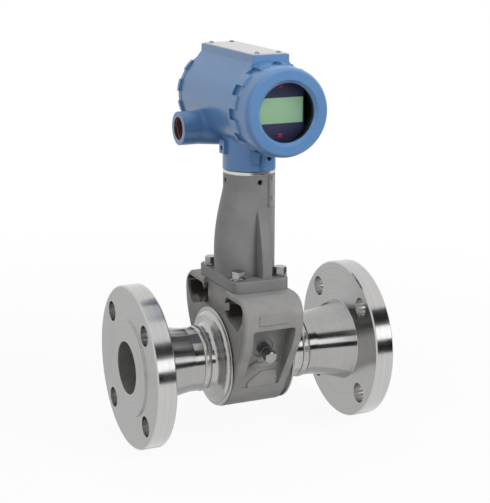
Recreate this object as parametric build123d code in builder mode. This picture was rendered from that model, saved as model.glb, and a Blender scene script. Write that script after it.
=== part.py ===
from build123d import *
import os
from math import atan2, cos, degrees, hypot, radians, sin, sqrt

# Flow meter with weld-neck flanges, a cast body, a bolted support tube and a two-compartment housing.
# Millimetres. The origin is the centre of the outlet flange's bolt circle on its bolting face, the
# flow runs towards -X, +Z points up to the electronics, and the display faces -Y.

# Fits between pieces
run_fit = 0.05
hole_fit = 0.3
turn_gap = 0.3

# Pipe and flanges, nominal two inch
face_to_face = 240.0
bore_d = 49.25
pipe_d = 60.3
flange_d = 152.4
flange_thk = 18.4
flange_len = 64.4
flange_edge = 1.2
raised_face_d = 92.1
raised_face_h = 1.6
hole_margin = 15.875
flange_hole_d = 19.05
flange_holes = 4
hub_d = 79.0
hub_land = 9.0
hub_sag = 1.2

# Weld beads
weld_w = 7.0
weld_crown = 0.9

# Body ends: neck, dished disc with a rolled lip, rim ring, groove
neck_d = 59.0
neck_len = 2.0
dish_depth = 10.4
dish_fillet = 5.0
dish_turn = 72.0
lip_d = 87.0
lip_roll = 4.9
lip_bulge = 0.6
rim_d = 94.0
rim_w = 1.6
rim_edge = 0.5
groove_d = 88.0
groove_w = 1.2

# Body block, a strap-shaped section extruded along the pipe
block_w = 58.8
block_top = 70.5
block_half_w = 70.5
shoulder_r = 18.5
flank_half_w = 59.5
flank_z = 14.5
keel_z = -48.3
keel_r = 39.5
block_edge = 1.8
window_top = 65.0
window_wall = 4.8
window_sill = 50.0
window_low_y = 54.0
window_low_z = 37.5
window_round = 6.5
column_half_w = 25.0
column_waist_z = 46.0
column_relief = 4.7
column_slot_h = 2.0
column_slot_depth = 10.0

# Front recess, mirrored on the far side
recess_top_z = 41.5
recess_top_y = 53.0
recess_lean = 14.5
recess_half_w = 21.0
recess_low_half_w = 19.0
recess_shift = 0.6
recess_run = 66.0
recess_corner_r = 3.0
recess_wall = 3.0
recess_web_drop = 7.0
recess_web_reach = 8.0
tongue_drop = 49.2
tongue_side_drop = 60.0
tongue_left = -13.0
tongue_shoulder = 0.5
tongue_right = 16.2
tongue_r = 5.0
arrow_drop = 42.4
arrow_tip = -13.2
arrow_tail = 15.6
arrow_head_l = 7.8
arrow_head_w = 9.2
arrow_shaft_w = 4.4
floor_raise = 0.9
pad_w = 30.0
pad_h = 9.3
pad_raise = 0.5
pad_shift = 0.0
pad_z = 51.5

# Access plug in the recess
plug_shift = -1.4
plug_drop = 23.9
plug_stem_d = 11.0
plug_stem_len = 11.5
plug_thread_depth = 10.0
plug_ring_d = 12.6
plug_ring_w = 1.6
plug_hex = 10.6
plug_hex_len = 7.2
plug_pocket_d = 20.0
plug_pocket_depth = 0.9

# Support tube and its foot
tube_shift = 6.2
tube_d = 48.3
tube_wall = 5.2
tube_lip_z = 174.6
tube_lip_h = 3.2
tube_lip_d = 48.9
foot_thk = 10.5
foot_w = 55.2
foot_l = 88.0
foot_shift = 0.8
foot_corner_r = 8.0
foot_edge_r = 1.0
flare_profile = ((80.0, 32.8), (98.0, 33.4), (115.0, 32.8), (130.0, 30.8), (145.0, 27.6), (160.0, 23.9))
flare_half_l = 26.5
flare_sink = 0.4
flare_back = 20.0
rib_reach = 37.0
rib_mid = (33.4, 114.0)
rib_top_z = 144.0
rib_w = 9.5
rib_shift = 2.0
tube_hole_d = 4.8
tube_hole_drop = 6.6
spigot_d = 41.9
spigot_wall = 3.9
spigot_len = 24.2

# Foot bolts
bolt_d = 6.0
bolt_hex = 11.2
bolt_head_h = 6.6
bolt_shift = 2.4
bolt_span_x = 42.6
bolt_span_y = 61.0
bolt_grip = 5.0
bolt_boss_d = 13.0
bolt_boss_drop = 6.0
washer_d = 13.8
washer_thk = 1.6

# Tube tag
tag_w = 11.0
tag_h = 29.5
tag_thk = 0.8
tag_corner_r = 3.0
tag_angle = -56.0
tag_mid_z = 158.8
tag_screw_gap = 18.0
tag_screw_raise = 2.2
tag_screw_d = 2.2
tag_screw_head_d = 4.0
tag_screw_head_h = 1.0
tag_screw_len = 3.4

# Sensor train
bar_w = 13.3
bar_tail_w = 4.0
bar_len = 17.0
bar_stem_d = 11.0
bar_foot_depth = 6.0
bar_end_gap = 0.3
cavity_floor_z = 33.0
cavity_step_z = 55.0
cavity_low_d = 24.2
cavity_d = 28.2
stem_stand = 3.0
sensor_flange_h = 4.0
sensor_nut_hex = 24.0
sensor_nut_hex_h = 6.5
cable_d = 4.4
connector_d = 12.0
connector_h = 14.0
cable_top_z = 187.0
seal_section = 2.0
neck_seal_z = 183.0

# Housing barrel, neck and entries
barrel_z = 239.2
barrel_d = 77.8
barrel_front = 45.0
barrel_back = 70.0
barrel_wall = 3.9
mid_wall_front = -10.0
mid_wall_thk = 8.0
neck_od = 49.2
socket_fit = 0.06
socket_top_gap = 0.6
cable_hole_d = 18.0
conduit_reach = 58.8
conduit_back = 28.0
conduit_drop = 25.4
conduit_od = 31.0
conduit_d = 21.0
conduit_depth = 17.0
conduit_passage_d = 15.0
web_start = 40.0
web_end = 14.0
web_half_l = 27.0
web_half_h = 18.5
web_shift = 9.0
web_raise = 1.5
web_round = 12.0
top_pad_w = 35.5
top_pad_z = 286.1
top_pad_side_h = 6.5
top_pad_angle = 51.9
top_pad_corner_r = 2.5

# Housing set screws and their bosses: angle round the neck, height, boss width, boss foot height
set_screws = ((180.0, 198.0, 10.5, 193.0), (-73.0, 190.5, 13.0, 178.6), (52.0, 190.5, 13.0, 178.6))
set_boss_reach = 3.2
set_boss_h = 8.0
set_screw_d = 5.0
set_screw_len = 5.0
blind_boss_angle = -103.0
blind_boss_z = 189.0
blind_boss_d = 9.0
blind_boss_reach = 1.4

# Name plate
plate_margin = 1.3
plate_thk = 1.0
plate_screw_span = 21.0
plate_screw_inset = 5.5
plate_screw_d = 2.4
plate_screw_head_d = 4.6
plate_screw_head_h = 1.4
plate_screw_len = 4.5

# Screw covers
cover_skirt = 10.0
cover_skirt_wall = 3.4
cover_thread_fit = 0.05
cover_collar_d = 83.6
cover_collar_back = 3.6
cover_collar_len = 15.0
cover_side_d = 80.4
cover_len = 36.2
cover_face_d = 73.8
cover_shoulder = 6.0
notches = 12
notch_phase = 3.0
notch_w = 9.6
notch_depth = 2.8
window_d = 52.4
window_bevel = 2.8
window_lip = 3.9
window_land = 1.0
glass_thk = 6.0
retainer_thk = 3.4
retainer_ring = 4.0
cap_thk = 6.4
cap_lug_reach = 1.9
cap_lug_back = 0.9
cap_dish_depth = 1.6
cap_dish_d = 58.0
seal_inset = 0.5

# Display
display_gap = 2.0
display_w = 48.0
display_thk = 12.0
display_front = 60.0
lcd_w = 46.0
lcd_h = 22.6
lcd_depth = 1.4
clip_drop = 22.0
clip_w = 5.0
clip_h = 3.4
clip_thk = 2.2
post_d = 5.0
post_span = 36.0

# Electronics puck
module_gap = 2.0
module_front = 34.0
module_screw_d = 3.0
module_screw_head_d = 5.6
module_screw_head_h = 2.6
module_screw_span = 50.0
module_screw_grip = 4.0

# Terminal block
terminal_gap = 5.0
terminal_cut = 0.5
terminal_thk = 13.0
barrier_w = 2.0
barrier_h = 5.0
barrier_l = 20.0
terminal_pitch = 11.0
terminals = 4
terminal_screw_d = 4.0
terminal_head_d = 7.4
terminal_head_h = 2.6
terminal_grip = 6.0
ground_screw_angle = -60.0
ground_screw_r = 27.0

# Values worked out from the sizes above
pipe_mid = face_to_face / 2 - raised_face_h
bolt_circle_d = flange_d - 2 * hole_margin
bore_r = bore_d / 2
pipe_r = pipe_d / 2
groove_r = groove_d / 2
neck_start = flange_len + weld_w
dish_start = neck_start + neck_len
rim_start = dish_start + dish_depth - rim_w / 2
rim_end = rim_start + rim_w
lip_r = lip_d / 2
block_x0 = rim_end + groove_w
body_x = block_x0 + block_w / 2
tube_x = body_x + tube_shift
tube_r = tube_d / 2
tube_top = tube_lip_z + tube_lip_h
foot_top = block_top + foot_thk
foot_x = body_x + foot_shift
bolt_x = body_x + bolt_shift
housing_z0 = tube_top + turn_gap
spigot_r = spigot_d / 2
spigot_top = tube_top + spigot_len
socket_r = spigot_r + socket_fit
socket_top = spigot_top + socket_top_gap
barrel_r = barrel_d / 2
chamber_r = barrel_r - barrel_wall
skirt_r = chamber_r - cover_thread_fit
skirt_inner_r = skirt_r - cover_skirt_wall
rear_wall = mid_wall_front - mid_wall_thk
cover_front = barrel_front + cover_len
glass_front = cover_front - window_lip
glass_back = glass_front - glass_thk
glass_r = skirt_inner_r - run_fit * 4
display_r = skirt_inner_r - display_gap
terminal_r = chamber_r - terminal_gap
cap_back = barrel_back + cap_thk
module_back = mid_wall_front
plate_len = barrel_front + barrel_back - 2 * plate_margin
tag_screw_lifts = (tag_screw_raise - tag_screw_gap / 2, tag_screw_raise + tag_screw_gap / 2)

recess_plane = Plane(
    origin=(body_x + recess_shift, -recess_top_y, recess_top_z),
    x_dir=(1, 0, 0),
    z_dir=(0, -cos(radians(recess_lean)), -sin(radians(recess_lean))),
)
barrel_axis = Axis((tube_x, 0, barrel_z), (0, -1, 0))
barrel_face = Plane(origin=(tube_x, 0, barrel_z), x_dir=(1, 0, 0), z_dir=(0, -1, 0))
barrel_section = Plane(origin=(tube_x, 0, barrel_z), x_dir=(0, -1, 0), z_dir=(-1, 0, 0))
tube_section = Plane(origin=(tube_x, 0, 0), x_dir=(1, 0, 0), z_dir=(0, -1, 0))
tube_axis = Axis((tube_x, 0, 0), (0, 0, 1))


def round_tube_plane(angle, z, radius=0.0):
    """A plane on the support tube's axis at height z, facing outwards at an angle about +Z."""
    way = Vector(cos(radians(angle)), sin(radians(angle)), 0)
    return Plane(
        origin=Vector(tube_x, 0, z) + way * radius,
        x_dir=(-sin(radians(angle)), cos(radians(angle)), 0),
        z_dir=way,
    )


def tangent_point(point, centre, radius):
    """Where the straight flank that leaves point touches the keel circle."""
    gap_y = point[0] - centre[0]
    gap_z = point[1] - centre[1]
    reach = hypot(gap_y, gap_z)
    swing = atan2(sqrt(reach**2 - radius**2), radius)
    angle = atan2(gap_z, gap_y) - swing
    return (centre[0] + radius * cos(angle), centre[1] + radius * sin(angle))


# Outlet flange: a turned forging with a raised face, four bolt holes and a tapered hub
with BuildPart() as outlet_flange:
    with BuildSketch(Plane.XY):
        with BuildLine():
            face = Polyline(
                (-raised_face_h, bore_r),
                (-raised_face_h, raised_face_d / 2),
                (0, raised_face_d / 2),
                (0, flange_d / 2 - flange_edge),
                (flange_edge, flange_d / 2),
                (flange_thk - flange_edge, flange_d / 2),
                (flange_thk, flange_d / 2 - flange_edge),
                (flange_thk, hub_d / 2),
            )
            land = Polyline((flange_len - hub_land, pipe_d / 2), (flange_len, pipe_d / 2), (flange_len, bore_r))
            hub_mid = (face @ 1 + land @ 0) / 2
            ThreePointArc(face @ 1, hub_mid - Vector(0, hub_sag), land @ 0)
            Line(land @ 1, face @ 0)
        make_face()
    revolve(axis=Axis.X)
    with Locations(Plane.YZ.offset(flange_thk)):
        with PolarLocations(bolt_circle_d / 2, flange_holes, start_angle=180 / flange_holes):
            Hole(flange_hole_d / 2)

# Inlet flange: the same forging turned round
with BuildPart() as inlet_flange:
    mirror(outlet_flange.part, about=Plane.YZ.offset(pipe_mid))

# Weld beads between the flange necks and the body
with BuildPart() as outlet_weld:
    with BuildSketch(Plane.XY):
        with BuildLine():
            bead = ThreePointArc(
                (flange_len, pipe_r),
                (flange_len + weld_w / 2, pipe_r + weld_crown),
                (flange_len + weld_w, neck_d / 2),
            )
            Polyline(bead @ 1, (flange_len + weld_w, bore_r), (flange_len, bore_r), bead @ 0)
        make_face()
    revolve(axis=Axis.X)

with BuildPart() as inlet_weld:
    mirror(outlet_weld.part, about=Plane.YZ.offset(pipe_mid))

# Wall round the recess's top edge, where the window passes close behind it
with BuildPart() as recess_web:
    with BuildSketch(recess_plane.offset(-recess_wall)):
        with Locations((0, recess_wall)):
            Rectangle(
                2 * (recess_half_w + recess_wall),
                recess_wall + recess_web_drop,
                align=(Align.CENTER, Align.MAX),
            )
    extrude(amount=recess_wall + recess_web_reach, dir=(0, -1, 0))

# Shape of the leaning recess that the flanks are cast with: its floor carries a flow arrow and a round tongue
with BuildPart() as flank_recess:
    with BuildSketch(recess_plane) as recess:
        with BuildLine():
            Polyline(
                (-recess_half_w, 0),
                (recess_half_w, 0),
                (recess_low_half_w, -recess_run),
                (-recess_low_half_w, -recess_run),
                close=True,
            )
        make_face()
        fillet(recess.vertices(), recess_corner_r)
    extrude(amount=block_half_w, dir=(0, -1, 0))
    with BuildSketch(recess_plane) as tongue:
        with BuildLine():
            Polyline(
                (tongue_left, -recess_run - tongue_r),
                (tongue_left, -tongue_side_drop),
                (tongue_shoulder, -tongue_drop),
                (tongue_right, -tongue_drop),
                (tongue_right, -recess_run - tongue_r),
                close=True,
            )
        make_face()
        fillet(tongue.vertices().sort_by(Axis.Y)[2:], tongue_r)
        with BuildLine():
            Polyline(
                (arrow_tip, -arrow_drop),
                (arrow_tip + arrow_head_l, -arrow_drop + arrow_head_w / 2),
                (arrow_tip + arrow_head_l, -arrow_drop + arrow_shaft_w / 2),
                (arrow_tail, -arrow_drop + arrow_shaft_w / 2),
                (arrow_tail, -arrow_drop - arrow_shaft_w / 2),
                (arrow_tip + arrow_head_l, -arrow_drop - arrow_shaft_w / 2),
                (arrow_tip + arrow_head_l, -arrow_drop - arrow_head_w / 2),
                close=True,
            )
        make_face()
    extrude(amount=floor_raise, mode=Mode.SUBTRACT)

# Meter body: one casting, made from the strap-shaped block and a turned end on each side
with BuildPart() as meter_body:
    with BuildSketch(Plane.YZ.offset(block_x0)):
        with BuildLine():
            flank_end = (flank_half_w, flank_z)
            keel_touch = tangent_point(flank_end, (0, keel_z + keel_r), keel_r)
            shoulder_y = block_half_w - shoulder_r
            crown = Line((0, block_top), (shoulder_y, block_top))
            shoulder = TangentArc(crown @ 1, (block_half_w, block_top - shoulder_r), tangent=(1, 0))
            TangentArc(shoulder @ 1, flank_end, tangent=(0, -1))
            Line(flank_end, keel_touch)
            keel_reach = Vector(keel_touch) - Vector(0, keel_z + keel_r)
            keel_half = radians(90 + degrees(atan2(keel_reach.Y, keel_reach.X))) / 2
            ThreePointArc(
                keel_touch,
                (keel_r * sin(keel_half), keel_z + keel_r - keel_r * cos(keel_half)),
                (0, keel_z),
            )
            mirror(about=Plane.YZ)
        make_face()
    extrude(amount=block_w)
    chamfer(edges().group_by(Axis.X)[0] + edges().group_by(Axis.X)[-1], block_edge)

    # Windows on both sides of the column, through the block along the pipe
    with BuildSketch(Plane.YZ.offset(block_x0)) as windows:
        with BuildLine():
            Polyline(
                (column_half_w, window_top),
                (block_half_w - window_wall, window_top),
                (block_half_w - window_wall - 2, window_sill),
                (window_low_y, window_low_z),
                (column_half_w, column_waist_z),
                close=True,
            )
        make_face()
        fillet(windows.vertices(), window_round)
        mirror(about=Plane.YZ)
    extrude(amount=block_w, mode=Mode.SUBTRACT)

    # Bosses under the foot bolts, inside the windows
    with BuildSketch(Plane.XY.offset(window_top - bolt_boss_drop)):
        with Locations((bolt_x, 0)):
            with GridLocations(bolt_span_x, bolt_span_y, 2, 2):
                Circle(bolt_boss_d / 2)
    extrude(amount=bolt_boss_drop + 1)

    # Shallow relief of the column's end faces, and the slot under the foot
    column_h = block_top - column_waist_z
    for end_x in (block_x0, block_x0 + block_w):
        with Locations((end_x, 0, block_top - column_h / 2)):
            Box(2 * column_relief, 2 * column_half_w, column_h, mode=Mode.SUBTRACT)
        with Locations((end_x, 0, block_top - column_slot_h / 2)):
            Box(2 * column_slot_depth, 2 * column_half_w, column_slot_h, mode=Mode.SUBTRACT)

    # Wall kept between each window and the recess, the raised blank pad, and the leaning recess below it
    add(recess_web.part)
    mirror(recess_web.part, about=Plane.XZ)
    for flank_y in (-block_half_w, block_half_w):
        with Locations((body_x + pad_shift, flank_y, pad_z)):
            Box(pad_w, 2 * pad_raise, pad_h)
    add(flank_recess.part, mode=Mode.SUBTRACT)
    mirror(flank_recess.part, about=Plane.XZ, mode=Mode.SUBTRACT)

    # Turned ends: neck, dished disc with its rolled lip, the rim ring, and the groove behind it
    with BuildSketch(Plane.XY):
        with BuildLine():
            start = Polyline((neck_start, bore_r), (neck_start, neck_d / 2), (dish_start, neck_d / 2))
            root = JernArc(start=start @ 1, tangent=(1, 0), radius=dish_fillet, arc_size=dish_turn)
            dish = Line(root @ 1, (rim_start - lip_roll * 0.75, lip_r - lip_roll))
            lip_mid = (dish @ 1 + Vector(rim_start - rim_edge, lip_r)) / 2
            lip = ThreePointArc(dish @ 1, lip_mid + Vector(-lip_bulge, lip_bulge), (rim_start - rim_edge, lip_r))
            Polyline(
                lip @ 1,
                (rim_start, lip_r),
                (rim_start, rim_d / 2 - rim_edge),
                (rim_start + rim_edge, rim_d / 2),
                (rim_end - rim_edge, rim_d / 2),
                (rim_end, rim_d / 2 - rim_edge),
                (rim_end, groove_r),
                (block_x0 + 1, groove_r),
                (block_x0 + 1, bore_r),
                start @ 0,
            )
        make_face()
    turned_end = revolve(axis=Axis.X)
    mirror(turned_end, about=Plane.YZ.offset(body_x))
    with BuildSketch(Plane.YZ.offset(2 * pipe_mid - neck_start)):
        Circle(neck_d / 2)
    extrude(amount=2 * (body_x - pipe_mid))

    # Flow bore, sensor cavity down the column, and the bar's seats above and below the bore
    with Locations(Plane.YZ.offset(pipe_mid)):
        Hole(bore_r)
    stem_hole_r = bar_stem_d / 2 + run_fit
    with BuildSketch(tube_section):
        with BuildLine():
            Polyline(
                (0, block_top + 1),
                (cavity_d / 2, block_top + 1),
                (cavity_d / 2, cavity_step_z),
                (cavity_low_d / 2, cavity_step_z),
                (cavity_low_d / 2, cavity_floor_z),
                (stem_hole_r, cavity_floor_z),
                (stem_hole_r, -bore_r - bar_foot_depth),
                (0, -bore_r - bar_foot_depth),
                close=True,
            )
        make_face()
    revolve(axis=tube_axis, mode=Mode.SUBTRACT)

    # Threaded holes for the foot bolts and the access plug
    with Locations((bolt_x, 0, block_top)):
        with GridLocations(bolt_span_x, bolt_span_y, 2, 2):
            Hole(bolt_d / 2 + run_fit, bolt_grip + hole_fit)
    with Locations(recess_plane):
        with Locations((plug_shift, -plug_drop)):
            Hole(plug_pocket_d / 2, plug_pocket_depth)
            Hole(plug_stem_d / 2 + run_fit, plug_pocket_depth + plug_thread_depth + hole_fit)

# Shedder bar: a trapezoid across the bore, with a round stem that passes up into the sensor cavity
with BuildPart() as shedder_bar:
    with BuildSketch(Plane.XY.offset(-bore_r)):
        with BuildLine():
            Polyline(
                (tube_x + bar_len / 2, -bar_w / 2),
                (tube_x + bar_len / 2, bar_w / 2),
                (tube_x - bar_len / 2, bar_tail_w / 2),
                (tube_x - bar_len / 2, -bar_tail_w / 2),
                close=True,
            )
        make_face()
    extrude(amount=2 * bore_r)
    with BuildSketch(Plane.YZ.offset(tube_x - bar_len)):
        Circle(bore_r - bar_end_gap)
    extrude(amount=2 * bar_len, mode=Mode.INTERSECT)
    with BuildSketch(Plane.XY.offset(-bore_r - bar_foot_depth)):
        with Locations((tube_x, 0)):
            Circle(bar_stem_d / 2)
    extrude(amount=2 * bore_r + bar_foot_depth + cavity_floor_z - bore_r + stem_stand)

# Flow sensor: its can stands on the stem and its flange sits on the step in the cavity
with BuildPart() as flow_sensor:
    with BuildSketch(Plane.XY.offset(cavity_floor_z + stem_stand)):
        with Locations((tube_x, 0)):
            Circle(cavity_low_d / 2 - run_fit)
    extrude(amount=cavity_step_z - cavity_floor_z - stem_stand)
    with BuildSketch(Plane.XY.offset(cavity_step_z)):
        with Locations((tube_x, 0)):
            Circle(cavity_d / 2 - run_fit)
    extrude(amount=sensor_flange_h)

# Sensor nut: a hollow hexagon nut that clamps the sensor down
with BuildPart() as sensor_nut:
    with BuildSketch(Plane.XY.offset(cavity_step_z + sensor_flange_h)):
        with Locations((tube_x, 0)):
            Circle(cavity_d / 2 - run_fit)
    extrude(amount=block_top - cavity_step_z - sensor_flange_h)
    with BuildSketch(Plane.XY.offset(block_top)):
        with Locations((tube_x, 0)):
            RegularPolygon(sensor_nut_hex / 2, 6, major_radius=False)
    extrude(amount=sensor_nut_hex_h)
    with Locations((tube_x, 0, block_top + sensor_nut_hex_h)):
        Hole(cable_d / 2 + hole_fit)

# Sensor cable: straight up the tube's axis from the sensor's flange to the connector
with BuildPart() as sensor_cable:
    with BuildSketch(Plane.XY.offset(cavity_step_z + sensor_flange_h)):
        with Locations((tube_x, 0)):
            Circle(cable_d / 2)
    extrude(amount=cable_top_z - cavity_step_z - sensor_flange_h)

# Cable connector: a round plug at the cable's top, inside the spigot
with BuildPart() as cable_connector:
    with BuildSketch(Plane.XY.offset(cable_top_z)):
        with Locations((tube_x, 0)):
            Circle(connector_d / 2)
    extrude(amount=connector_h)
    chamfer(edges().filter_by(GeomType.CIRCLE).sort_by(Axis.Z)[-1], 0.8)


# Support tube: one casting, a lofted flare with two side ribs on a bolted foot, and a turned spigot
with BuildPart() as support_tube:
    with BuildSketch(Plane.XY.offset(block_top)):
        with Locations((foot_x, 0)):
            RectangleRounded(foot_w, foot_l, foot_corner_r)
    extrude(amount=foot_thk)
    fillet(edges().group_by(Axis.Z)[-1], foot_edge_r)
    for z, nose in flare_profile:
        rise = (z - flare_profile[0][0]) / (flare_profile[-1][0] - flare_profile[0][0])
        with BuildSketch(Plane.XY.offset(z)):
            with Locations((tube_x - (nose - flare_back) / 2, 0)):
                Ellipse((nose + flare_back) / 2, flare_half_l + (tube_r - flare_sink - flare_half_l) * rise)
    loft()
    with BuildSketch(Plane.YZ.offset(tube_x + rib_shift - rib_w / 2)):
        with BuildLine():
            outer = ThreePointArc((rib_reach, foot_top), rib_mid, (tube_r - flare_sink, rib_top_z))
            Polyline(outer @ 1, (0, rib_top_z), (0, foot_top - foot_edge_r), (rib_reach, foot_top - foot_edge_r), outer @ 0)
        make_face()
        mirror(about=Plane.YZ)
    extrude(amount=rib_w)
    with BuildSketch(Plane.XY.offset(foot_top - foot_edge_r)):
        with Locations((tube_x, 0)):
            Circle(tube_r)
    extrude(amount=tube_lip_z - foot_top + foot_edge_r)
    with BuildSketch(Plane.XY.offset(tube_lip_z)):
        with Locations((tube_x, 0)):
            Circle(tube_lip_d / 2)
    extrude(amount=tube_lip_h)
    chamfer(edges().group_by(Axis.Z)[-1], 0.6)
    with BuildSketch(Plane.XY.offset(tube_top)):
        with Locations((tube_x, 0)):
            Circle(spigot_r)
    extrude(amount=spigot_len)
    chamfer(edges().group_by(Axis.Z)[-1], 0.6)

    # Groove for the neck's seal, the cable way, and the four radial holes under the lip
    with BuildSketch(tube_section):
        with Locations((spigot_r, neck_seal_z)):
            Rectangle(2 * (seal_section + run_fit), seal_section + 2 * run_fit)
    revolve(axis=tube_axis, mode=Mode.SUBTRACT)
    with Locations((tube_x, 0, spigot_top)):
        Hole(spigot_r - spigot_wall)
    with BuildSketch(Plane.XY.offset(block_top)):
        with Locations((tube_x, 0)):
            Circle(tube_r - tube_wall)
    extrude(amount=tube_lip_z - block_top - tube_lip_h, mode=Mode.SUBTRACT)
    for angle in (0, 90, 180, 270):
        with Locations(round_tube_plane(angle, tube_lip_z - tube_hole_drop, tube_r + 1)):
            Hole(tube_hole_d / 2, tube_wall + 2)

    # Clearance holes for the foot bolts, and pilot holes for the tag's screws
    with Locations((bolt_x, 0, foot_top)):
        with GridLocations(bolt_span_x, bolt_span_y, 2, 2):
            Hole(bolt_d / 2 + hole_fit, foot_thk)
    for lift in tag_screw_lifts:
        with Locations(round_tube_plane(tag_angle, tag_mid_z + lift, tube_r + 1)):
            Hole(tag_screw_d / 2 + run_fit, 1 + tag_screw_len)

# Foot bolts with washers, four of each
with BuildPart() as tube_washers:
    with BuildSketch(Plane.XY.offset(foot_top)):
        with Locations((bolt_x, 0)):
            with GridLocations(bolt_span_x, bolt_span_y, 2, 2):
                Circle(washer_d / 2)
                Circle(bolt_d / 2 + hole_fit, mode=Mode.SUBTRACT)
    extrude(amount=washer_thk)

with BuildPart() as tube_bolts:
    with BuildSketch(Plane.XY.offset(block_top - bolt_grip)):
        with Locations((bolt_x, 0)):
            with GridLocations(bolt_span_x, bolt_span_y, 2, 2):
                Circle(bolt_d / 2)
    extrude(amount=bolt_grip + foot_thk + washer_thk)
    with BuildSketch(Plane.XY.offset(foot_top + washer_thk)):
        with Locations((bolt_x, 0)):
            with GridLocations(bolt_span_x, bolt_span_y, 2, 2):
                RegularPolygon(bolt_hex / 2, 6, major_radius=False)
    extrude(amount=bolt_head_h)

# Access plug: a threaded stem with two rings and a hexagon head, leaning out of the recess
plug_seat = Plane(
    origin=recess_plane.from_local_coords((plug_shift, -plug_drop, 0)),
    x_dir=recess_plane.x_dir,
    z_dir=recess_plane.z_dir,
)
with BuildPart() as access_plug:
    with BuildSketch(plug_seat.offset(-plug_pocket_depth - plug_thread_depth)):
        Circle(plug_stem_d / 2)
    extrude(amount=plug_pocket_depth + plug_thread_depth + plug_stem_len)
    for ring in (0.25, 0.6):
        with BuildSketch(plug_seat.offset(ring * plug_stem_len)):
            Circle(plug_ring_d / 2)
        extrude(amount=plug_ring_w)
    with BuildSketch(plug_seat.offset(plug_stem_len)):
        RegularPolygon(plug_hex / 2, 6, major_radius=False)
    extrude(amount=plug_hex_len)

# Tube tag: a blank rounded plate rolled to the tube, held by two drive screws
with BuildPart() as tube_tag:
    with BuildSketch(round_tube_plane(tag_angle, tag_mid_z)):
        RectangleRounded(tag_w, tag_h, tag_corner_r)
    extrude(amount=2 * tube_r)
    with BuildSketch(Plane.XY.offset(tag_mid_z - tag_h)):
        with Locations((tube_x, 0)):
            Circle(tube_r + tag_thk + run_fit)
            Circle(tube_r + run_fit, mode=Mode.SUBTRACT)
    extrude(amount=2 * tag_h, mode=Mode.INTERSECT)
    for lift in tag_screw_lifts:
        with Locations(round_tube_plane(tag_angle, tag_mid_z + lift, tube_r + tag_thk + 1)):
            Hole(tag_screw_d / 2 + run_fit, tag_thk + 2)

with BuildPart() as tag_screws:
    for lift in tag_screw_lifts:
        with BuildSketch(round_tube_plane(tag_angle, tag_mid_z + lift, tube_r + tag_thk + 2 * run_fit)):
            Circle(tag_screw_head_d / 2)
        extrude(amount=tag_screw_head_h)
        with BuildSketch(round_tube_plane(tag_angle, tag_mid_z + lift, tube_r + 1 - tag_screw_len)):
            Circle(tag_screw_d / 2)
        extrude(amount=tag_screw_len)

# Neck seal: a square ring in the spigot's groove
with BuildPart() as housing_seal:
    with BuildSketch(tube_section):
        with Locations((socket_r - run_fit - seal_section / 2, neck_seal_z)):
            Rectangle(seal_section, seal_section)
    revolve(axis=tube_axis)

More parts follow.
